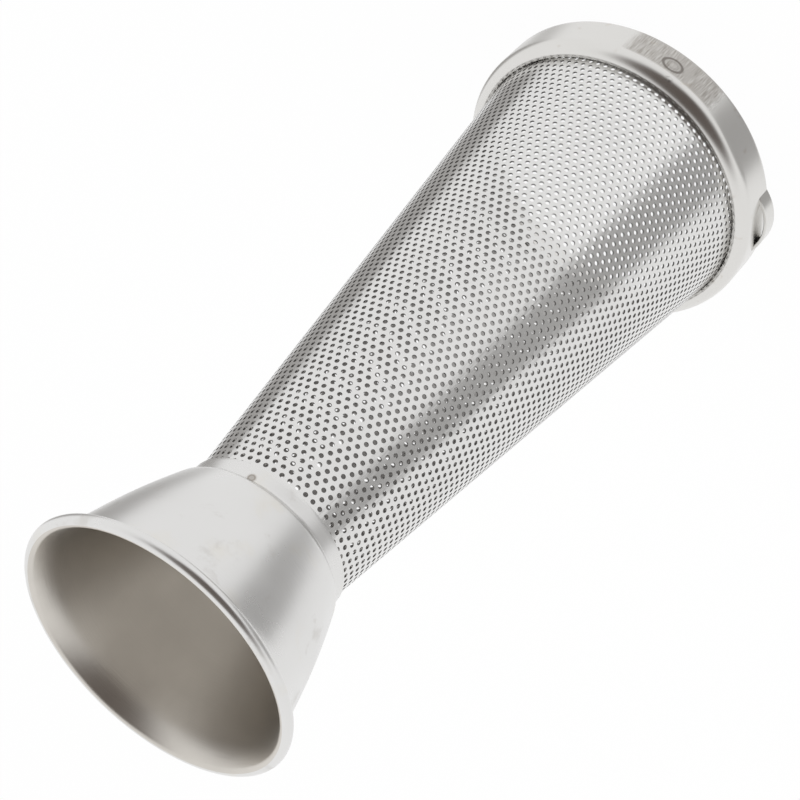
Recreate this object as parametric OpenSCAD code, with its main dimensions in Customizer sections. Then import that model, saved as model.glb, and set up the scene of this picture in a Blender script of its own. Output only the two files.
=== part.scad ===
// Strainer cone of a tomato press: a perforated sheet cone, the bayonet collar at its
// wide end and the flared outlet bell at its small end. The part stands on the open rim
// of the collar, its axis is Z and the mouth of the bell is on top.

/* [Screen] */
// Outside diameter at the wide end
screen_wide_d = 69.3; // [66:0.1:72]
// Outside diameter at the small end
screen_small_d = 36; // [30:0.5:44]
// Height from the wide end to the small end
screen_h = 144.8; // [110:0.1:190]
// Thickness of the perforated sheet
sheet_t = 0.6; // [0.4:0.1:1]
// Distance between neighbouring holes in the flat sheet
hole_pitch = 8; // [7.5:0.1:16]
// Diameter of a hole
hole_d = 4.4; // [2:0.1:5]
// Width of the plain strip along the welded seam
seam_w = 6; // [3:0.5:12]

/* [Collar] */
// Outside diameter of the collar band
collar_d = 76.2; // [75.6:0.1:80]
// Height of the straight band
band_h = 8; // [6:0.5:14]
// Thickness of the collar and bell sheet
shell_t = 0.8; // [0.5:0.1:0.9]
// How far a bayonet lug stands out from the band
lug_out = 2; // [1:0.1:3]
// Length of a lug round the band
lug_w = 16; // [12:0.5:24]
// Height of a lug above the open rim
lug_h = 4; // [3:0.5:5]
// Number of lugs round the band
lug_count = 2; // [1:1:4]

/* [Bell] */
// Outside diameter of the rolled lip
mouth_d = 64; // [63:0.5:80]
// Diameter of the roll at the lip
bead_d = 2.6; // [2.2:0.1:4]
// Length of the neck sleeve on the screen
neck_h = 3; // [2:0.5:6]

/* [Hidden] */

// Facets round the axis, round a hole and along a bend
round_fn = 96;
hole_fn = 24;
bend_steps = 8;

// The screen's cone
screen_z = 8.2;
screen_top_z = screen_z + screen_h;
screen_r = screen_wide_d / 2;
slope = (screen_wide_d - screen_small_d) / 2 / screen_h;
half_angle = atan(slope);
apex_z = screen_z + screen_r / slope;

// The flat sheet: every point lies at a slant distance from the apex of the cone
hole_z_low = 13.5;
hole_z_high = 146;
slant_low = (apex_z - hole_z_low) / cos(half_angle);
slant_high = (apex_z - hole_z_high) / cos(half_angle);
row_step = hole_pitch * sin(60);
first_row = ceil(slant_high * cos(180 * sin(half_angle)) / row_step);
last_row = floor(slant_low / row_step);
row_half = ceil(slant_low * sin(180 * sin(half_angle)) / hole_pitch);
drill_h = 4;

// The seam lies at the back and the middle of the sheet at the front
front_angle = -90;

// Bends of the collar, measured on its outside
shoulder_r = 3.5;
fold_r = 1;
sleeve_h = 1.9;
lug_angle = 203.4;

// Bends of the bell, measured on its outside
neck_z = 147.4;
step_bend_r = 0.9;
step_dir = 38;
step_run = 1.2;
bell_shoulder_r = 2.5;
bell_shoulder_dir = 69;
flare_r = 150;
flare_dir = 76.5;
lip_bend_r = 20;
lip_dir = 62;
roll_r = bead_d / 2 - shell_t;
roll_turn = 260;

// Outside radius of the screen at a height
function screen_r_at(z) = (apex_z - z) * slope;

// Unit vector along a direction, and the same turned a quarter to the left
function along(dir) = [cos(dir), sin(dir)];
function left_of(dir) = [-sin(dir), cos(dir)];

// A sheet's outline is walked like a bend plan. A move is [0, length] for a straight run
// or [radius, turn] for a bend, where a turn to the left is positive.
function walk(p, dir, moves, i = 0) =
  i == len(moves) ? [p] :
  let (m = moves[i], side = sign(m[1]), c = p + side * m[0] * left_of(dir))
  m[0] == 0
    ? concat([p], walk(p + m[1] * along(dir), dir, moves, i + 1))
    : concat([for (k = [0 : bend_steps - 1]) c - side * m[0] * left_of(dir + m[1] * k / bend_steps)],
             walk(c - side * m[0] * left_of(dir + m[1]), dir + m[1], moves, i + 1));

// The same plan on the other face of the sheet, a distance t to the left
function shifted(moves, t) = [for (m = moves) m[0] == 0 ? m : [m[0] - sign(m[1]) * t, m[1]]];

function reversed(list) = [for (i = [len(list) - 1 : -1 : 0]) list[i]];

// Radial gain of a straight run or a bend
function gain(dir, m) =
  m[0] == 0 ? m[1] * cos(dir) : sign(m[1]) * m[0] * (sin(dir + m[1]) - sin(dir));

// Ring of bent sheet, from its section's start point, direction and moves
module bent_ring(p, dir, moves, t) {
  rotate_extrude($fn = round_fn)
    polygon(concat(walk(p, dir, moves), reversed(walk(p + t * left_of(dir), dir, shifted(moves, t)))));
}

// Cone of sheet with staggered round holes. The rows are straight in the flat sheet, so
// each hole's place is a point of that sheet rolled onto the cone.
module screen() {
  wall = sheet_t / cos(half_angle);
  small_r = screen_small_d / 2;
  color([0.78, 0.78, 0.77])
    difference() {
      rotate_extrude($fn = round_fn)
        polygon([
          [screen_r - wall, screen_z],
          [screen_r, screen_z],
          [small_r, screen_top_z],
          [small_r - wall, screen_top_z]
        ]);
      for (row = [first_row : last_row], column = [-row_half : row_half])
        sheet_hole([row * row_step, (column + (row % 2) / 2) * hole_pitch]);
    }
}

// Drill through the wall at a point of the flat sheet, if it lies inside the margins
module sheet_hole(p) {
  slant = norm(p);
  turn = atan2(p.y, p.x) / sin(half_angle);
  seam_gap = (180 - abs(turn)) * PI / 180 * slant * sin(half_angle);
  if (slant < slant_low && slant > slant_high && abs(turn) < 180 && seam_gap > (seam_w + hole_d) / 2)
    rotate([0, 0, front_angle + turn])
      translate([slant * sin(half_angle), 0, apex_z - slant * cos(half_angle)])
        rotate([0, 90 - half_angle, 0])
          cylinder(d = hole_d, h = drill_h, center = true, $fn = hole_fn);
}

// Pressed ring: a straight band, a round shoulder and a sleeve folded down along the
// screen. Bows of the same sheet stand out from the band at its rim as bayonet lugs.
module collar() {
  centre = [collar_d / 2 - shoulder_r, band_h];
  outward = along(half_angle);
  gap = outward * [screen_r_at(0), 0] + fold_r - outward * centre;
  shoulder_turn = half_angle + acos(gap / (shoulder_r - fold_r));
  moves = [
    [0, band_h],
    [shoulder_r, shoulder_turn],
    [fold_r, 180 + half_angle - shoulder_turn],
    [0, sleeve_h]
  ];
  color([0.8, 0.8, 0.78])
    union() {
      bent_ring([collar_d / 2, 0], 90, moves, shell_t);
      at_each_lug() lug_bow();
    }
}

module at_each_lug() {
  for (i = [0 : lug_count - 1])
    rotate([0, 0, lug_angle + 360 * i / lug_count]) children();
}

// Bow of a lug: the part of a smaller ring that stands out past the middle of the band's
// wall, with a narrow slot left between the bow and the band
module lug_bow() {
  chord_x = sqrt(pow(collar_d / 2, 2) - pow(lug_w / 2, 2));
  rise = collar_d / 2 + lug_out - chord_x;
  bow_r = (pow(lug_w / 2, 2) + pow(rise, 2)) / (2 * rise);
  difference() {
    translate([collar_d / 2 + lug_out - bow_r, 0, 0])
      cylinder(r = bow_r, h = lug_h, $fn = round_fn);
    translate([collar_d / 2 + lug_out - bow_r, 0, -lug_h])
      cylinder(r = bow_r - shell_t, h = 3 * lug_h, $fn = round_fn);
    translate([0, 0, -lug_h])
      cylinder(r = (collar_d - shell_t) / 2, h = 3 * lug_h, $fn = round_fn);
  }
}

// Spun outlet: a neck sleeve on the screen, a step out to the shoulder, a long flare and
// a lip rolled outward into a hollow bead
module bell() {
  start = [screen_r_at(neck_z), neck_z] + shell_t * along(half_angle);
  start_dir = 90 + half_angle;
  lead = [
    [0, neck_h],
    [step_bend_r, step_dir - start_dir],
    [0, step_run],
    [bell_shoulder_r, bell_shoulder_dir - step_dir],
    [flare_r, flare_dir - bell_shoulder_dir]
  ];
  lead_gain = gain(start_dir, lead[0]) + gain(start_dir, lead[1]) + gain(step_dir, lead[2])
    + gain(step_dir, lead[3]) + gain(bell_shoulder_dir, lead[4]);
  lip_bend = [lip_bend_r, lip_dir - flare_dir];
  roll_start_r = mouth_d / 2 - bead_d / 2 - roll_r * sin(lip_dir);
  flare_run = (roll_start_r - start.x - lead_gain - gain(flare_dir, lip_bend)) / cos(flare_dir);
  color([0.84, 0.84, 0.83])
    bent_ring(start, start_dir, concat(lead, [[0, flare_run], lip_bend, [roll_r, -roll_turn]]), shell_t);
}

screen();
collar();
bell();
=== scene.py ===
"""Strainer cone of a tomato press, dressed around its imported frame.

The screen gets its real perforation, the collar and the bell get smooth sheet faces, and
every piece gets a worked stainless finish. All sizes are metres in the frame's own place.
"""

import math

import bpy
import numpy as np
from bpy.props import FloatProperty, FloatVectorProperty, IntProperty, PointerProperty
from mathutils import Matrix, Vector


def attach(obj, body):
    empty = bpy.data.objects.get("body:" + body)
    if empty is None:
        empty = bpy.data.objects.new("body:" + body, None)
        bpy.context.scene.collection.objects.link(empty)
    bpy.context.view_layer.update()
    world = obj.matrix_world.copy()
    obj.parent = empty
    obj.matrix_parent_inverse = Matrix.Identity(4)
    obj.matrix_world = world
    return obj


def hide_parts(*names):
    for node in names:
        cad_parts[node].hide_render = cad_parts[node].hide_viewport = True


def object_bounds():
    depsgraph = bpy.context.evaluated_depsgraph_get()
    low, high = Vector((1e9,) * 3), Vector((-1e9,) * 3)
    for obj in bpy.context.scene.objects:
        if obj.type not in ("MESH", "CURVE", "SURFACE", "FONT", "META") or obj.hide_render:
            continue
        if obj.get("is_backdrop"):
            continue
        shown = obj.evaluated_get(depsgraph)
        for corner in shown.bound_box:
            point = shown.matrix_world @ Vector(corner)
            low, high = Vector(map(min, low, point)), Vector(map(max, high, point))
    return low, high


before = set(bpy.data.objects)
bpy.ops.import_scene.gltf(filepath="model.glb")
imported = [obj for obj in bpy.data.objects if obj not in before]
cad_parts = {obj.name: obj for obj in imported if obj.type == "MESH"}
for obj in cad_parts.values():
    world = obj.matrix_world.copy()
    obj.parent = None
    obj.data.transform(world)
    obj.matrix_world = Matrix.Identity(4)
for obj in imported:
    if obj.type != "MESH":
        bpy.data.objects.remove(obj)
CAD_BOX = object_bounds()

bl_info = {
    "name": "Strainer cone",
    "version": (1, 0, 0),
    "blender": (4, 5, 0),
    "location": "3D View > Sidebar > Strainer",
    "description": "Builds the screen, collar, bell and studio of a tomato press strainer cone",
    "category": "Object",
}

MM = 0.001
BODY = "root"

# Directions round the axis, in degrees counter-clockwise from +X
FRONT = -90.0
CAMERA_TURN = 263.4


# Settings a user would change


def length(name, description, default):
    return FloatProperty(name=name, description=description, default=default, unit="LENGTH")


def degrees(name, description, default):
    return FloatProperty(
        name=name, description=description, default=math.radians(default), subtype="ANGLE"
    )


def colour(name, description, default):
    return FloatVectorProperty(
        name=name, description=description, default=default, subtype="COLOR", min=0.0, max=1.0
    )


def share(name, description, default):
    return FloatProperty(
        name=name, description=description, default=default, subtype="FACTOR", min=0.0, max=1.0
    )


class ScreenSizes(bpy.types.PropertyGroup):
    """Sizes of the perforated cone"""

    wide_diameter: length("Wide end", "Outside diameter at the wide end", 69.3 * MM)
    small_diameter: length("Small end", "Outside diameter at the small end", 36 * MM)
    low: length("Low edge", "Height of the wide end above the rim", 8.2 * MM)
    high: length("High edge", "Height of the small end above the rim", 153 * MM)
    thickness: length("Sheet", "Thickness of the perforated sheet", 0.4 * MM)
    hole_pitch: length("Pitch", "Distance between neighbouring holes", 2.0 * MM)
    hole_diameter: length("Hole", "Diameter of a hole", 1.1 * MM)
    seam_width: length("Seam strip", "Width of the plain strip along the seam", 6 * MM)
    edge_margin: length("Edge margin", "Least distance of a hole's centre from a cut edge", 1.05 * MM)
    row_start: length("Row start", "How far the rows are set off along the sheet", 0.03 * MM)
    hole_start: length("Hole start", "How far the holes are set off along their rows", 0.65 * MM)
    weld_width: length("Seam weld", "Width of the weld bead along the seam", 1.4 * MM)
    weld_height: length("Seam weld rise", "How far the seam's bead stands out", 0.2 * MM)


class CollarSizes(bpy.types.PropertyGroup):
    """Sizes of the pressed collar"""

    diameter: length("Band", "Outside diameter of the band", 76.2 * MM)
    band_height: length("Band height", "Height of the straight band", 8 * MM)
    thickness: length("Sheet", "Thickness of the collar's sheet", 0.8 * MM)
    shoulder_radius: length("Shoulder", "Outside radius of the shoulder bend", 3.5 * MM)
    fold_radius: length("Fold", "Radius of the fold onto the screen", 1.0 * MM)
    sleeve_height: length("Sleeve", "Length of the sleeve along the screen", 1.9 * MM)
    lug_out: length("Lug reach", "How far a lug stands out", 2.0 * MM)
    lug_width: length("Lug width", "Length of a lug round the band", 16 * MM)
    lug_height: length("Lug height", "Height of a lug above the rim", 4 * MM)
    lug_turn: degrees("Lug direction", "Direction of the first lug from +X", 203.4)
    lug_count: IntProperty(name="Lugs", description="Number of lugs", default=2, min=1, max=4)


class BellSizes(bpy.types.PropertyGroup):
    """Sizes of the outlet bell"""

    mouth_diameter: length("Mouth", "Outside diameter of the rolled lip", 64 * MM)
    bead_diameter: length("Bead", "Diameter of the roll at the lip", 2.6 * MM)
    thickness: length("Sheet", "Thickness of the bell's sheet", 0.8 * MM)
    neck_low: length("Neck start", "Height at which the neck sleeve starts", 147.4 * MM)
    neck_height: length("Neck", "Length of the neck sleeve on the screen", 3 * MM)


class Finishes(bpy.types.PropertyGroup):
    """Colours and gloss of the stainless sheets"""

    screen_colour: colour("Screen", "Colour of the perforated sheet", (0.74, 0.735, 0.725))
    # The screen's inside colour is far darker than its outside colour: painted shade for the cone's
    # inside and its hole walls.
    lining_shade_colour: colour("Screen inside", "Colour of the duller inner side", (0.40, 0.39, 0.38))
    collar_colour: colour("Collar", "Colour of the collar", (0.72, 0.71, 0.69))
    bell_colour: colour("Bell outside", "Colour of the bell's outside", (0.75, 0.745, 0.735))
    inside_colour: colour("Bell inside", "Colour of the bell's satin inside", (0.66, 0.63, 0.585))
    weld_colour: colour("Weld", "Colour of bare weld metal", (0.42, 0.37, 0.32))
    screen_roughness: share("Screen roughness", "Roughness of the perforated sheet", 0.2)
    lining_roughness: share("Screen inside roughness", "Roughness of the inner side", 0.34)
    collar_roughness: share("Collar roughness", "Roughness of the collar", 0.24)
    bell_roughness: share("Bell roughness", "Roughness of the bell's outside", 0.3)
    inside_roughness: share("Inside roughness", "Roughness of the bell's inside", 0.36)


class Studio(bpy.types.PropertyGroup):
    """Camera and light"""

    camera_distance: length("Camera distance", "Distance of the camera from the axis", 0.35454)
    camera_height: length("Camera height", "Height of the camera above the floor", 0.36691)
    look_turn: degrees("Look direction", "Direction of the view from +X", 83.51)
    look_tilt: degrees("Look tilt", "Rise of the view above level", -37.03)
    roll: degrees("Camera roll", "Turn of the camera about its view", 136.09)
    lens: FloatProperty(name="Lens", description="Focal length in mm", default=93.28)
    floor_glow: share("Floor glow", "Share of the floor that shows as plain white", 0.97)


# Shader maths


class Wire:
    """A shader socket for Python sums: every operator adds one Math node."""

    def __init__(self, graph, socket):
        self.graph = graph
        self.socket = socket

    def math(self, operation, *others, clamp=False):
        settings = {"operation": operation, "use_clamp": clamp}
        return self.graph.add("ShaderNodeMath", settings, [self, *others])

    def __add__(self, other):
        return self.math("ADD", other)

    __radd__ = __add__

    def __mul__(self, other):
        return self.math("MULTIPLY", other)

    __rmul__ = __mul__

    def __sub__(self, other):
        return self.math("SUBTRACT", other)

    def __rsub__(self, other):
        return self.graph.add("ShaderNodeMath", {"operation": "SUBTRACT"}, [other, self])

    def __truediv__(self, other):
        return self.math("DIVIDE", other)

    def __pow__(self, other):
        return self.math("POWER", other)

    def __abs__(self):
        return self.math("ABSOLUTE")

    def fade(self, start, end, low=0.0, high=1.0):
        """Smooth step: low where this value is at start, high where it is at end."""
        settings = {"interpolation_type": "SMOOTHSTEP"}
        inputs = {"Value": self, "From Min": start, "From Max": end, "To Min": low, "To Max": high}
        return self.graph.add("ShaderNodeMapRange", settings, inputs)


class Graph:
    """The nodes of one material or world."""

    def __init__(self, owner):
        owner.use_nodes = True
        self.tree = owner.node_tree
        self.tree.nodes.clear()

    def add(self, kind, settings=None, inputs=None, output=0):
        """Adds a node: settings are set first, then its sockets get values or links."""
        node = self.tree.nodes.new(kind)
        for key, value in (settings or {}).items():
            setattr(node, key, value)
        pairs = enumerate(inputs) if isinstance(inputs, (list, tuple)) else (inputs or {}).items()
        for key, value in pairs:
            if isinstance(value, Wire):
                self.tree.links.new(value.socket, node.inputs[key])
            else:
                node.inputs[key].default_value = value
        return Wire(self, node.outputs[output]) if len(node.outputs) else node

    def place(self):
        """Object coordinates in millimetres, and their x, y and z."""
        coordinates = self.add("ShaderNodeTexCoord", output="Object")
        scaled = self.add(
            "ShaderNodeVectorMath", {"operation": "SCALE"}, {"Vector": coordinates, "Scale": 1 / MM}
        )
        split = self.add("ShaderNodeSeparateXYZ", None, [scaled])
        outputs = split.socket.node.outputs
        return scaled, [Wire(self, outputs[k]) for k in range(3)]

    def vector(self, x, y, z):
        return self.add("ShaderNodeCombineXYZ", None, [x, y, z])

    def noise(self, vector, scale, detail=3.0, roughness=0.5):
        """Noise from 0 to 1 with features about 1 / scale across."""
        inputs = {"Vector": vector, "Scale": scale, "Detail": detail, "Roughness": roughness}
        return self.add("ShaderNodeTexNoise", {"noise_dimensions": "3D"}, inputs)

    def blend(self, amount, first, second, mode="MIX"):
        """Colour mix: first where amount is 0, second where it is 1."""
        node = self.tree.nodes.new("ShaderNodeMix")
        node.data_type = "RGBA"
        node.blend_type = mode
        for key, value in ((0, amount), (6, first), (7, second)):
            if isinstance(value, Wire):
                self.tree.links.new(value.socket, node.inputs[key])
            else:
                node.inputs[key].default_value = value
        return Wire(self, node.outputs[2])

    def bump(self, height, strength, distance, normal=None):
        inputs = {"Height": height, "Strength": strength, "Distance": distance}
        if normal is not None:
            inputs["Normal"] = normal
        return self.add("ShaderNodeBump", None, inputs)

    def finish(self, shader, kind="ShaderNodeOutputMaterial"):
        output = self.tree.nodes.new(kind)
        self.tree.links.new(shader.socket, output.inputs["Surface"])


def rgba(colour, gain=1.0):
    return (*[min(1.0, c * gain) for c in colour], 1.0)


def angle_from(x, y, turn):
    """Angle round the axis in degrees from the direction turn, between -180 and 180."""
    c, s = math.cos(math.radians(turn)), math.sin(math.radians(turn))
    ahead = x * c + y * s
    aside = y * c - x * s
    return aside.math("ARCTAN2", ahead) * (180 / math.pi)


# Finishes


# Where the collar's marks lie round the axis, and the colours of dull and stained steel
PATCH_TURN = CAMERA_TURN + 10.5
RING_TURN = CAMERA_TURN + 11.3
NICK_TURN = CAMERA_TURN + 9.0
GROUND = (0.33, 0.30, 0.27, 1)
MARK = (0.16, 0.14, 0.125, 1)
STAIN = (0.50, 0.42, 0.34, 1)

# The neck's spot welds: direction of the one in view, their number and height in mm
NECK_WELD_TURN = 293.5
NECK_WELDS = 3
NECK_WELD_Z = 150.4


def steel(graph, base, roughness, normal=None):
    """Bare stainless steel: a metal whose colour and gloss come from the pattern."""
    inputs = {"Base Color": base, "Roughness": roughness, "Metallic": 1.0}
    if normal is not None:
        inputs["Normal"] = normal
    return graph.add("ShaderNodeBsdfPrincipled", None, inputs)


def screen_material(finishes):
    """Bright rolled sheet: long soft streaks, a little handling haze and a tinted seam."""
    material = bpy.data.materials.new("screen_steel")
    graph = Graph(material)
    place, (x, y, z) = graph.place()
    haze = graph.noise(place, 0.05, 4.0)
    streaks = graph.noise(graph.vector(x, y, z * 0.05), 0.6, 3.0)
    seam = abs(angle_from(x, y, -FRONT)).fade(2.0, 9.0, 1.0, 0.0)
    tint = graph.blend(seam * 0.5, rgba(finishes.screen_colour), rgba(finishes.weld_colour, 1.2))
    base = graph.blend(haze.fade(0.45, 0.75) * 0.12, tint, rgba(finishes.screen_colour, 0.7))
    roughness = finishes.screen_roughness + (haze - 0.5) * 0.1 + (streaks - 0.5) * 0.06 + seam * 0.15
    wave = graph.bump(streaks, 0.12, 0.0004)
    graph.finish(steel(graph, base, roughness, wave))
    return material


def lining_material(finishes):
    """Inner side of the rolled sheet and the walls of its holes: rougher, with soft clouds, and a darker
    colour that is painted shade inside the cone and in the holes.
    """
    material = bpy.data.materials.new("screen_lining_shaded_steel")
    graph = Graph(material)
    place, _ = graph.place()
    cloud = graph.noise(place, 0.12, 3.0)
    tone = finishes.lining_shade_colour
    # The darker inner colour is painted shade; the clouds are the sheet's own random tone.
    base = graph.blend(cloud.fade(0.35, 0.7) * 0.4, rgba(tone), rgba(tone, 0.75))
    graph.finish(steel(graph, base, finishes.lining_roughness + (cloud - 0.5) * 0.1))
    return material


def collar_material(finishes):
    """Pressed sheet: soft haze, a ground patch with axial scratches, and marks on it."""
    material = bpy.data.materials.new("collar_steel")
    graph = Graph(material)
    place, (x, y, z) = graph.place()
    haze = graph.noise(place, 0.09, 5.0)
    outer = (x * x + y * y).math("SQRT").fade(37.7, 37.9)
    turn = angle_from(x, y, PATCH_TURN)
    ragged = graph.noise(graph.vector(turn * 2.0, z * 0.4, 0.0), 1.0, 2.0)
    patch = (abs(turn) + (ragged - 0.5) * 6).fade(16.0, 20.0, 1.0, 0.0)
    patch = patch * z.fade(7.4, 8.2, 1.0, 0.0) * outer
    scratches = graph.noise(graph.vector(turn * 5.0, z * 0.25, 0.0), 1.0, 3.0, 0.7)
    across = angle_from(x, y, RING_TURN) * (math.radians(1) * 38.1)
    reach = ((across / 2.45) ** 2 + ((z - 5.1) / 1.9) ** 2).math("SQRT")
    ring = abs(reach - 1.0).fade(0.05, 0.26, 1.0, 0.0) + abs(reach - 0.55).fade(0.02, 0.2, 0.3, 0.0)
    ring = ring * outer
    nick_across = angle_from(x, y, NICK_TURN) * (math.radians(1) * 37.0)
    nick = ((nick_across / 1.0) ** 2 + ((z - 9.4) / 0.7) ** 2).math("SQRT").fade(0.4, 1.2, 1.0, 0.0)
    nick = nick * graph.noise(place, 1.6, 2.0).fade(0.42, 0.6)
    ground = graph.blend(patch * scratches.fade(0.3, 0.7), rgba(finishes.collar_colour), GROUND)
    marked = graph.blend(ring * 0.75 + nick * 0.6, ground, MARK)
    stain = graph.noise(place, 0.35, 4.0).fade(0.64, 0.74) * 0.25
    base = graph.blend(stain, marked, STAIN)
    roughness = finishes.collar_roughness + (haze - 0.5) * 0.16 + patch * 0.2
    grain = graph.noise(graph.vector(x, y, z * 6.0), 1.2, 2.0)
    relief = grain * 0.08 + scratches * patch * 0.5 - ring * 0.8
    graph.finish(steel(graph, base, roughness, graph.bump(relief, 0.35, 0.0002)))
    return material


def bell_material(finishes):
    """Spun sheet, semi-bright: cloudy gloss, faint stains and fine turning marks."""
    material = bpy.data.materials.new("bell_steel")
    graph = Graph(material)
    place, (x, y, z) = graph.place()
    cloud = graph.noise(place, 0.07, 5.0, 0.6)
    fine = graph.noise(graph.vector(x * 0.3, y * 0.3, z * 3.0), 1.0, 3.0)
    blotch = graph.noise(place, 0.16, 4.0, 0.6).fade(0.58, 0.75)
    straw = graph.noise(graph.vector(x + 31.0, y, z), 0.12, 3.0).fade(0.55, 0.8)
    tinted = graph.blend(straw * 0.25, rgba(finishes.bell_colour), (0.74, 0.68, 0.55, 1))
    stained = graph.blend(blotch * 0.3, tinted, (0.50, 0.47, 0.43, 1))
    step = 360 / NECK_WELDS
    turn = (angle_from(x, y, NECK_WELD_TURN) + 360 + step / 2).math("MODULO", step) - step / 2
    across = turn * (math.radians(1) * 19.2)
    spot = (across ** 2 + (z - NECK_WELD_Z) ** 2).math("SQRT")
    weld = spot.fade(0.5, 1.3, 1.0, 0.0) + abs(spot - 0.7).fade(0.05, 0.3, 0.5, 0.0)
    base = graph.blend(weld * 0.6, stained, rgba(finishes.weld_colour, 0.7))
    roughness = finishes.bell_roughness + (cloud - 0.5) * 0.2 + blotch * 0.05
    relief = fine * 0.3 + cloud * 0.7
    graph.finish(steel(graph, base, roughness, graph.bump(relief, 0.1, 0.0006)))
    return material


def inside_material(finishes):
    """Satin inside of the bell: warm, with clouds and fine turning marks."""
    material = bpy.data.materials.new("bell_inside_steel")
    graph = Graph(material)
    place, (x, y, z) = graph.place()
    cloud = graph.noise(place, 0.06, 4.0, 0.55)
    fine = graph.noise(graph.vector(x * 0.2, y * 0.2, z * 4.0), 1.0, 2.0)
    tone = finishes.inside_colour
    base = graph.blend(cloud.fade(0.3, 0.7) * 0.3, rgba(tone), rgba(tone, 0.82))
    roughness = finishes.inside_roughness + (cloud - 0.5) * 0.12
    graph.finish(steel(graph, base, roughness, graph.bump(fine * 0.3 + cloud, 0.08, 0.0006)))
    return material


def weld_material(finishes):
    """Weld metal: dull grey with a brown heat tint in spots."""
    material = bpy.data.materials.new("weld_metal")
    graph = Graph(material)
    place, _ = graph.place()
    spots = graph.noise(place, 1.6, 3.0)
    tone = finishes.weld_colour
    base = graph.blend(spots.fade(0.4, 0.65), rgba(tone, 1.3), rgba(tone, 0.6))
    graph.finish(steel(graph, base, spots * 0.2 + 0.3, graph.bump(spots, 0.5, 0.0002)))
    return material


# Surfaces


def solid(name, points, faces, slots=None, materials=(), sharp=40.0):
    """Puts a closed mesh of points and faces into the scene, smooth up to the sharp angle."""
    mesh = bpy.data.meshes.new(name)
    mesh.from_pydata([], [], [])
    faces = np.asarray(faces)
    sides = faces.shape[1]
    mesh.vertices.add(len(points))
    mesh.vertices.foreach_set("co", np.asarray(points, np.float32).ravel())
    mesh.loops.add(faces.size)
    mesh.loops.foreach_set("vertex_index", faces.ravel().astype(np.int32))
    mesh.polygons.add(len(faces))
    mesh.polygons.foreach_set("loop_start", np.arange(len(faces), dtype=np.int32) * sides)
    mesh.update(calc_edges=True)
    for material in materials:
        mesh.materials.append(material)
    if slots is not None:
        mesh.polygons.foreach_set("material_index", np.asarray(slots, np.int32))
    mesh.shade_smooth()
    mesh.set_sharp_from_angle(angle=math.radians(sharp))
    mesh.validate()
    piece = bpy.data.objects.new(name, mesh)
    bpy.context.scene.collection.objects.link(piece)
    return piece


def along(heading):
    return np.stack([np.cos(heading), np.sin(heading)], axis=-1)


def left_of(heading):
    return np.stack([-np.sin(heading), np.cos(heading)], axis=-1)


def bend_plan(start, heading, moves, offset=0.0, run_step=0.7 * MM, turn_step=5.0):
    """One face of a bent sheet's section as (radius, height) points.

    A move is (0, length) for a straight run or (radius, degrees) for a bend, where a left
    turn is positive. The offset is how far this face lies to the left of the plan.
    """
    heading = math.radians(heading)
    place = np.array(start) + offset * left_of(heading)
    points = []
    for radius, amount in moves:
        if radius == 0:
            steps = max(1, round(amount / run_step))
            runs = np.linspace(0, amount, steps + 1)
            points.append(place + runs[:-1, None] * along(heading))
            place = place + amount * along(heading)
        else:
            side = math.copysign(1, amount)
            reach = side * (radius - side * offset)
            centre = place + reach * left_of(heading)
            arc = radius * abs(math.radians(amount))
            steps = max(6, round(abs(amount) / turn_step), round(arc / run_step))
            turns = heading + np.radians(np.linspace(0, amount, steps + 1))
            points.append(centre - reach * left_of(turns[:-1]))
            heading = turns[-1]
            place = centre - reach * left_of(heading)
    points.append(place[None])
    return np.vstack(points)


def sheet_section(start, heading, moves, thickness):
    """Closed section of a bent sheet: its plan face, then its other face run back."""
    face = bend_plan(start, heading, moves)
    back = bend_plan(start, heading, moves, thickness)
    return face, back


def eased_edges(face, back, ease=0.12 * MM):
    """Takes the sharp corners off a sheet's two cut edges, and joins its faces to a loop."""
    loop = np.vstack([face, back[::-1]])
    corners = [0, len(face) - 1, len(face), len(loop) - 1]
    parts = []
    for k, point in enumerate(loop):
        if k not in corners:
            parts.append(point[None])
            continue
        before, after = loop[k - 1], loop[(k + 1) % len(loop)]
        into = point + ease * (before - point) / np.linalg.norm(before - point)
        out = point + ease * (after - point) / np.linalg.norm(after - point)
        middle = (into + out + 2 * point) / 4
        parts.append(np.array([into, middle, out]))
    return np.vstack(parts)


def turned(section, segments):
    """Revolves a closed section: the points at angle t are (r cos t, r sin t, z)."""
    turn = np.linspace(0, 2 * math.pi, segments, endpoint=False)
    radius = section[:, :1]
    height = np.broadcast_to(section[:, 1:], (len(section), segments))
    return np.stack([radius * np.cos(turn), radius * np.sin(turn), height], axis=-1)


def ring_faces(rows, segments):
    """Quads of a closed section carried round the axis, with their outward side out."""
    k, j = np.meshgrid(np.arange(rows), np.arange(segments), indexing="ij")
    k2, j2 = (k + 1) % rows, (j + 1) % segments
    corners = [k * segments + j, k * segments + j2, k2 * segments + j2, k2 * segments + j]
    return np.stack(corners, axis=-1).reshape(-1, 4)


def capped_tube(rings):
    """Closed tube through rings[section point, station]: triangles round it and a fan on each end."""
    rows, stations = rings.shape[:2]
    k, j = np.meshgrid(np.arange(rows), np.arange(stations - 1), indexing="ij")
    k2 = (k + 1) % rows
    a, b = (k * stations + j).ravel(), (k * stations + j + 1).ravel()
    c, d = (k2 * stations + j + 1).ravel(), (k2 * stations + j).ravel()
    sides = np.vstack([np.stack([a, b, c], axis=-1), np.stack([a, c, d], axis=-1)])
    centres = rings[:, [0, -1]].mean(axis=0)
    row = np.arange(rows)
    after = (row + 1) % rows
    first, last = rows * stations, rows * stations + 1
    start_cap = np.stack([row * stations, after * stations, np.full(rows, first)], axis=-1)
    end = stations - 1
    end_cap = np.stack([after * stations + end, row * stations + end, np.full(rows, last)], axis=-1)
    points = np.vstack([rings.reshape(-1, 3), centres])
    return points, np.vstack([sides, start_cap, end_cap])


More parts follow.
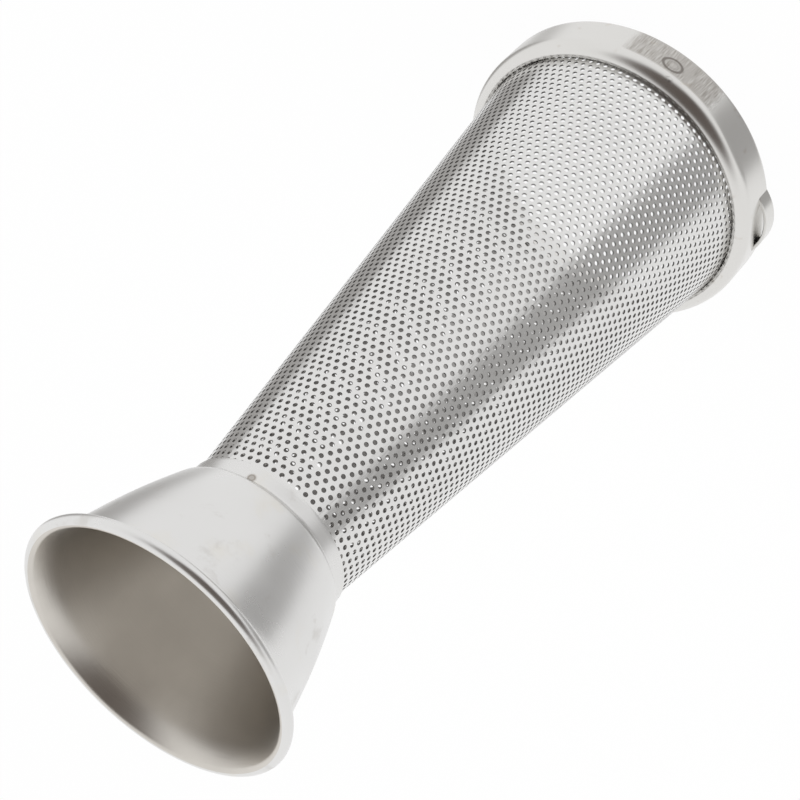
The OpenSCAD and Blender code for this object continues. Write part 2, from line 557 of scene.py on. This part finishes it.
def thickened(flat, triangles, outward, thickness):
    """Closed sheet from its outer face: an inner face one thickness in, and walls on free edges."""
    count = len(flat)
    edges = np.vstack([triangles[:, [0, 1]], triangles[:, [1, 2]], triangles[:, [2, 0]]]).astype(np.int64)
    key = edges[:, 0] * count + edges[:, 1]
    twin = edges[:, 1] * count + edges[:, 0]
    free = edges[~np.isin(key, twin)]
    a, b = free[:, 0], free[:, 1]
    near, far = np.stack([b, a, a + count], axis=1), np.stack([b, a + count, b + count], axis=1)
    points = np.vstack([flat, flat - thickness * outward])
    return points, np.vstack([triangles, triangles[:, ::-1] + count, near, far])


# Corners of a 12-sided hole, numbered every 30 degrees from the row direction. Between three
# neighbouring holes the metal is a nine-sided web, listed as (which hole, which corner).
WEB_ONE = ((0, 11), (1, 5), (1, 4), (1, 3), (2, 9), (2, 8), (2, 7), (0, 1), (0, 0))
WEB_TWO = ((0, 1), (1, 7), (1, 6), (1, 5), (2, 11), (2, 10), (2, 9), (0, 3), (0, 2))
WEB_TRIANGLES = ((8, 2, 5), (8, 0, 1), (8, 1, 2), (2, 3, 4), (2, 4, 5), (5, 6, 7), (5, 7, 8))
HOLE_SIDES = 12


def perforated_cone(sizes, split):
    """The rolled sheet with its staggered holes, as two closed meshes that meet on one row.

    Each comes as points, triangles and the slot of each triangle, 1 on all but the outer face.

    Hole centres lie on straight rows in the flat sheet: row i is i * pitch * sin 60 from the
    cone's apex and every second row is shifted by half a pitch. A flat point at slant l and
    angle p from the middle line rolls up to radius l sin h, turn p / sin h and height
    apex - l cos h, where h is the cone's half angle. A place where no hole fits is moved to
    the nearest edge of the sheet, so the same webs also close the plain margins.
    """
    slope = (sizes.wide_diameter - sizes.small_diameter) / 2 / (sizes.high - sizes.low)
    half = math.atan(slope)
    apex = sizes.low + sizes.wide_diameter / 2 / slope
    near, far = (apex - sizes.high) / math.cos(half), (apex - sizes.low) / math.cos(half)
    sector = math.pi * math.sin(half)
    pitch, hole = sizes.hole_pitch, sizes.hole_diameter / 2
    row_step = pitch * math.sin(math.radians(60))
    first = math.floor(near * math.cos(sector) / row_step) - 2
    last = math.ceil(far / row_step) + 2
    reach = math.ceil(far * math.sin(sector) / pitch) + 3
    rows, columns = np.arange(first, last + 1), np.arange(-reach, reach + 1)
    row, column = np.meshgrid(rows, columns, indexing="ij")
    x, y = row * row_step + sizes.row_start, (column + (row % 2) / 2) * pitch + sizes.hole_start
    slant, angle = np.hypot(x, y), np.arctan2(y, x)
    at_seam = (sector - np.abs(angle)) * slant <= sizes.seam_width / 2 + hole
    at_near, at_far = slant <= near + sizes.edge_margin, slant >= far - sizes.edge_margin
    is_open = ~(at_seam | at_near | at_far)
    angle = np.where(at_seam, np.sign(angle) * sector, angle)
    slant = np.where(at_near, near, np.where(at_far, far, slant))

    corner = np.radians(np.arange(HOLE_SIDES) * 30.0)
    rim = np.where(is_open, hole, 0.0)[..., None]
    flat_x = (slant * np.cos(angle))[..., None] + rim * np.cos(corner)
    flat_y = (slant * np.sin(angle))[..., None] + rim * np.sin(corner)
    slant, angle = np.hypot(flat_x, flat_y).ravel(), np.arctan2(flat_y, flat_x).ravel()
    turn = angle / math.sin(half) + math.radians(FRONT)
    radial = np.stack([np.cos(turn), np.sin(turn), np.zeros_like(turn)], axis=-1)
    rise = np.array([0.0, 0.0, 1.0])
    height = apex - slant * math.cos(half)
    points = radial * (slant * math.sin(half))[:, None] + height[:, None] * rise
    outward = radial * math.cos(half) + rise * math.sin(half)

    width = row.shape[1]
    index = np.arange(row.size).reshape(row.shape)
    here = index[:-1, 1:-1]
    shift = row[:-1, 1:-1] % 2
    above = here + width + shift
    beside = here + 1
    bands = []
    for web, trio in ((WEB_ONE, (here, above - 1, above)), (WEB_TWO, (here, above, beside))):
        some_open = np.any([is_open.ravel()[spot] for spot in trio], axis=0)
        ring = np.stack([trio[which] * HOLE_SIDES + k for which, k in web], axis=-1)[some_open]
        band = row[:-1, 1:-1][some_open]
        triangles = ring[:, WEB_TRIANGLES].reshape(-1, 3)
        bands.append((triangles, np.repeat(band, len(WEB_TRIANGLES))))
    triangles = np.vstack([t for t, _ in bands])
    band = np.concatenate([b for _, b in bands])

    cells = np.round(points / (2e-3 * MM))
    _, keeper, merged = np.unique(cells, axis=0, return_index=True, return_inverse=True)
    triangles = keeper[merged.ravel()][triangles]
    distinct = (triangles != np.roll(triangles, 1, axis=1)).all(axis=1)
    triangles, band = triangles[distinct], band[distinct]
    halves = []
    cut = (apex - split) / math.cos(half) / row_step
    for part in (triangles[band >= cut], triangles[band < cut]):
        used, packed = np.unique(part, return_inverse=True)
        faces = packed.reshape(-1, 3)
        closed = thickened(points[used], faces, outward[used], sizes.thickness)
        is_lining = np.arange(len(closed[1])) >= len(faces)
        halves.append((*closed, is_lining.astype(int)))
    return halves


def screen_outside(sizes, height):
    """Outside radius of the screen at a height."""
    slope = (sizes.wide_diameter - sizes.small_diameter) / 2 / (sizes.high - sizes.low)
    return sizes.wide_diameter / 2 - slope * (height - sizes.low)


def screen_half_angle(sizes):
    slope = (sizes.wide_diameter - sizes.small_diameter) / 2 / (sizes.high - sizes.low)
    return math.degrees(math.atan(slope))


def seam_bead(sizes, low, high):
    """Weld bead along the seam at the back.

    At height z and a share s across, from -1 to 1, its top lies rise * (1 - s * s) * (0.85 +
    0.15 cos(2 pi z / ripple)) off the sheet. Its underside lies inside the sheet.
    """
    ripple, sunk = 0.8 * MM, 0.1 * MM
    height = np.linspace(low, high, 700)
    outside = screen_outside(sizes, height)
    lift = sizes.weld_height * (0.85 + 0.15 * np.cos(2 * math.pi * height / ripple))
    rows = []
    for share in (*np.linspace(1, -1, 7), -1, 1):
        top = len(rows) < 7
        offset = lift * (1 - share**2) if top else -sunk
        radius = outside + offset
        turn = math.radians(-FRONT) + share * sizes.weld_width / 2 / outside
        rows.append(np.stack([radius * np.cos(turn), radius * np.sin(turn), height], axis=-1))
    return capped_tube(np.array(rows))


def bell_section(screen, sizes):
    """Section of the bell: neck sleeve, step, shoulder, flare and the lip rolled outward."""
    half = screen_half_angle(screen)
    thickness = sizes.thickness
    start = np.array([screen_outside(screen, sizes.neck_low), sizes.neck_low])
    start = start + thickness * along(math.radians(half))
    roll = sizes.bead_diameter / 2 - thickness
    lip_heading, flare_heading = 62.0, 76.5
    lead = [
        (0, sizes.neck_height),
        (0.9 * MM, 38 - (90 + half)),
        (0, 1.2 * MM),
        (2.5 * MM, 31),
        (150 * MM, flare_heading - 69),
    ]
    lip = (20 * MM, lip_heading - flare_heading)
    reached = bend_plan(start, 90 + half, lead)[-1, 0]
    lip_gain = bend_plan((0, 0), flare_heading, [lip])[-1, 0]
    lip_reach = sizes.bead_diameter / 2 + roll * math.sin(math.radians(lip_heading))
    roll_start = sizes.mouth_diameter / 2 - lip_reach
    flare_run = (roll_start - reached - lip_gain) / math.cos(math.radians(flare_heading))
    moves = lead + [(0, flare_run), lip, (roll, -260)]
    return sheet_section(start, 90 + half, moves, thickness)


def collar_section(screen, sizes):
    """Section of the collar: band, round shoulder, and the sleeve folded down the screen."""
    half = screen_half_angle(screen)
    outward = along(math.radians(half))
    centre = np.array([sizes.diameter / 2 - sizes.shoulder_radius, sizes.band_height])
    gap = outward[0] * screen_outside(screen, 0.0) + sizes.fold_radius - outward @ centre
    shoulder = half + math.degrees(math.acos(gap / (sizes.shoulder_radius - sizes.fold_radius)))
    moves = [
        (0, sizes.band_height),
        (sizes.shoulder_radius, shoulder),
        (sizes.fold_radius, 180 + half - shoulder),
        (0, sizes.sleeve_height),
    ]
    return sheet_section((sizes.diameter / 2, 0.0), 90, moves, sizes.thickness)


def lug_bow(sizes, heading):
    """Bow of one lug: a strip of a smaller circle that stands out past the band.

    The bow's circle has its centre c out from the axis, so a face of radius q leaves the
    middle of the band's wall, radius m, at the angle with cosine (m^2 - c^2 - q^2) / (2 c q).
    """
    half_width = sizes.lug_width / 2
    chord = math.sqrt((sizes.diameter / 2) ** 2 - half_width**2)
    top = sizes.diameter / 2 + sizes.lug_out
    rise = top - chord
    bow = (half_width**2 + rise**2) / (2 * rise)
    centre = top - bow
    middle = (sizes.diameter - sizes.thickness) / 2
    ease = 0.15 * MM
    section = [
        (0, 0), (0, sizes.lug_height - ease), (ease, sizes.lug_height),
        (sizes.thickness - ease, sizes.lug_height), (sizes.thickness, sizes.lug_height - ease),
        (sizes.thickness, 0),
    ]
    share = np.linspace(-1, 1, 49)
    rows = []
    for inset, height in section:
        face = bow - inset
        end = math.acos((middle**2 - centre**2 - face**2) / (2 * centre * face))
        out = centre + face * np.cos(share * end)
        aside = face * np.sin(share * end)
        x = out * math.cos(heading) - aside * math.sin(heading)
        y = out * math.sin(heading) + aside * math.cos(heading)
        rows.append(np.stack([x, y, np.full_like(x, height)], axis=-1))
    return capped_tube(np.array(rows))


# Operators


def settle(piece, node):
    """Ties a piece to the frame: its body and the solid it stands for."""
    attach(piece, BODY)
    if node:
        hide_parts(node)


class STRAINER_OT_screen(bpy.types.Operator):
    """Build the perforated screen and the weld along its seam"""

    bl_idname = "strainer.screen"
    bl_label = "Screen"

    def execute(self, context):
        sizes = context.scene.strainer_screen
        finishes = context.scene.strainer_finishes
        sides = [screen_material(finishes), lining_material(finishes)]
        halves = perforated_cone(sizes, split=85 * MM)
        for name, (points, faces, slots) in zip(("screen_wide_half", "screen_small_half"), halves):
            piece = solid(name, points, faces, slots, sides)
            settle(piece, "screen")
        points, faces = seam_bead(sizes, 12.5 * MM, 146.5 * MM)
        bead = solid("seam_weld", points, faces, materials=[weld_material(finishes)])
        settle(bead, "screen")
        return {"FINISHED"}


class STRAINER_OT_collar(bpy.types.Operator):
    """Build the collar with its lanced lugs"""

    bl_idname = "strainer.collar"
    bl_label = "Collar"

    def execute(self, context):
        screen = context.scene.strainer_screen
        sizes = context.scene.strainer_collar
        finish = collar_material(context.scene.strainer_finishes)
        loop = eased_edges(*collar_section(screen, sizes))
        segments = 360
        points = turned(loop, segments).reshape(-1, 3)
        ring = solid("collar_ring", points, ring_faces(len(loop), segments), materials=[finish])
        settle(ring, "collar")
        for k in range(sizes.lug_count):
            points, faces = lug_bow(sizes, sizes.lug_turn + 2 * math.pi * k / sizes.lug_count)
            lug = solid("bayonet_lug_%d" % (k + 1), points, faces, materials=[finish])
            settle(lug, "collar")
        return {"FINISHED"}


class STRAINER_OT_bell(bpy.types.Operator):
    """Build the outlet bell with its satin inside"""

    bl_idname = "strainer.bell"
    bl_label = "Bell"

    def execute(self, context):
        scene = context.scene
        face, back = bell_section(scene.strainer_screen, scene.strainer_bell)
        loop = eased_edges(face, back)
        segments = 320
        points = turned(loop, segments)
        faces = ring_faces(len(loop), segments)
        row = np.repeat(np.arange(len(loop)), segments)
        lip_top = len(loop) - int(np.argmax(loop[::-1, 1])) - 1
        inside = (row > lip_top).astype(int)
        finishes = scene.strainer_finishes
        piece = solid(
            "bell_shell", points.reshape(-1, 3), faces, inside,
            [bell_material(finishes), inside_material(finishes)],
        )
        settle(piece, "bell")
        return {"FINISHED"}


# The studio that the metal mirrors: (turn from the camera, rise, half width, half height,
# softness, colour). Angles in degrees; positive turns go to the camera's right round the part.
STUDIO_ZONES = (
    (0, 40, 42, 46, 0.3, (0.13, 0.11, 0.10)),
    (47, -42, 19, 34, 0.2, (0.45, 0.445, 0.44)),
    (-132, -30, 18, 18, 0.3, (0.42, 0.41, 0.40)),
)


def unit_vector(heading, rise):
    """Direction from a turn round Z and a rise above level, in radians."""
    level = math.cos(rise)
    return Vector((level * math.cos(heading), level * math.sin(heading), math.sin(rise)))


def studio_world(context):
    """White surroundings with darker zones that only reflections see."""
    world = bpy.data.worlds.new("studio")
    context.scene.world = world
    graph = Graph(world)
    direction = graph.add("ShaderNodeTexCoord", output="Generated")
    light = (1.0, 1.0, 1.0, 1.0)
    for turn, rise, width, height, softness, tone in STUDIO_ZONES:
        heading = math.radians(CAMERA_TURN - turn)
        ahead = unit_vector(heading, math.radians(rise))
        side = unit_vector(heading + math.pi / 2, 0.0)
        dots = [
            graph.add("ShaderNodeVectorMath", {"operation": "DOT_PRODUCT"}, [direction, axis], "Value")
            for axis in (ahead, side, ahead.cross(side))
        ]
        across = dots[1].math("ARCTAN2", dots[0]) / math.radians(width)
        up = dots[2].math("ARCTAN2", (dots[0] ** 2 + dots[1] ** 2).math("SQRT")) / math.radians(height)
        inside = (across ** 2 + up ** 2).math("SQRT").fade(1 - softness, 1 + softness, 1.0, 0.0)
        light = graph.blend(inside, light, (*tone, 1.0))
    mirrored = graph.add("ShaderNodeBackground", None, {"Color": light, "Strength": 1.0})
    plain = graph.add("ShaderNodeBackground", None, {"Color": (1, 1, 1, 1), "Strength": 1.0})
    to_camera = graph.add("ShaderNodeLightPath", output="Is Camera Ray")
    mixed = graph.add("ShaderNodeMixShader", None, [to_camera, mirrored, plain])
    graph.finish(mixed, "ShaderNodeOutputWorld")


def floor_material(studio):
    """Pale floor: mostly plain white to the camera, and the rest takes the object's shadow."""
    material = bpy.data.materials.new("floor_white")
    graph = Graph(material)
    matt = graph.add("ShaderNodeBsdfDiffuse", None, {"Color": (0.95, 0.95, 0.95, 1)})
    glow = graph.add("ShaderNodeEmission", None, {"Color": (1, 1, 1, 1), "Strength": 1.0})
    to_camera = graph.add("ShaderNodeLightPath", output="Is Camera Ray")
    graph.finish(graph.add("ShaderNodeMixShader", None, [to_camera * studio.floor_glow, matt, glow]))
    return material


class STRAINER_OT_stage(bpy.types.Operator):
    """Set the floor, the soft studio light and the camera"""

    bl_idname = "strainer.stage"
    bl_label = "Stage"

    def execute(self, context):
        studio = context.scene.strainer_studio
        half = 4.0
        corners = [(-half, -half, 0), (half, -half, 0), (half, half, 0), (-half, half, 0)]
        mesh = bpy.data.meshes.new("floor")
        mesh.from_pydata(corners, [], [(0, 1, 2, 3)])
        mesh.materials.append(floor_material(studio))
        floor = bpy.data.objects.new("floor", mesh)
        floor.visible_glossy = False
        context.scene.collection.objects.link(floor)
        floor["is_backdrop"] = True
        studio_world(context)

        lamp_data = bpy.data.lights.new("soft_box", "AREA")
        lamp_data.size = 0.7
        lamp_data.energy = 3.0
        lamp = bpy.data.objects.new("soft_box", lamp_data)
        lamp.location = (-0.35, -0.25, 1.0)
        to_part = Vector((0, 0, 0.08)) - lamp.location
        lamp.rotation_euler = to_part.to_track_quat("-Z", "Y").to_euler()
        lamp.visible_glossy = False
        context.scene.collection.objects.link(lamp)

        camera_data = bpy.data.cameras.new("camera")
        camera_data.lens = studio.lens
        camera_data.sensor_width = 36
        camera_data.clip_start = 0.01
        camera = bpy.data.objects.new("camera", camera_data)
        spot = studio.camera_distance * unit_vector(math.radians(CAMERA_TURN), 0.0)
        spot.z = studio.camera_height
        ahead = unit_vector(studio.look_turn, studio.look_tilt)
        level = ahead.cross(Vector((0, 0, 1))).normalized()
        upright = level.cross(ahead)
        up = upright * math.cos(studio.roll) + level * math.sin(studio.roll)
        right = ahead.cross(up)
        facing = Matrix((right, up, -ahead)).transposed()
        camera.matrix_world = Matrix.Translation(spot) @ facing.to_4x4()
        context.scene.collection.objects.link(camera)
        context.scene.camera = camera
        context.scene.view_settings.view_transform = "Standard"
        return {"FINISHED"}


class STRAINER_PT_panel(bpy.types.Panel):
    """Sidebar panel with the strainer cone's builders and settings"""

    bl_label = "Strainer cone"
    bl_idname = "STRAINER_PT_panel"
    bl_space_type = "VIEW_3D"
    bl_region_type = "UI"
    bl_category = "Strainer"

    def draw(self, context):
        for operator in OPERATORS:
            self.layout.operator(operator.bl_idname)
        for name in SETTINGS:
            group = getattr(context.scene, name)
            box = self.layout.box()
            for prop in type(group).__annotations__:
                box.prop(group, prop)


OPERATORS = (STRAINER_OT_stage, STRAINER_OT_screen, STRAINER_OT_collar, STRAINER_OT_bell)
SETTINGS = {
    "strainer_screen": ScreenSizes,
    "strainer_collar": CollarSizes,
    "strainer_bell": BellSizes,
    "strainer_finishes": Finishes,
    "strainer_studio": Studio,
}


def register():
    for cls in (*SETTINGS.values(), *OPERATORS, STRAINER_PT_panel):
        bpy.utils.register_class(cls)
    for name, group in SETTINGS.items():
        setattr(bpy.types.Scene, name, PointerProperty(type=group))


def unregister():
    for name in SETTINGS:
        delattr(bpy.types.Scene, name)
    for cls in (STRAINER_PT_panel, *reversed(OPERATORS), *reversed(list(SETTINGS.values()))):
        bpy.utils.unregister_class(cls)


def main():
    register()
    bpy.ops.strainer.stage()
    bpy.ops.strainer.screen()
    bpy.ops.strainer.collar()
    bpy.ops.strainer.bell()
    bpy.context.view_layer.update()
    boxes = {"cad": CAD_BOX, "visual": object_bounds()}
    boxes = {name: [list(map(float, corner)) for corner in box] for name, box in boxes.items()}


if __name__ == "__main__":
    main()
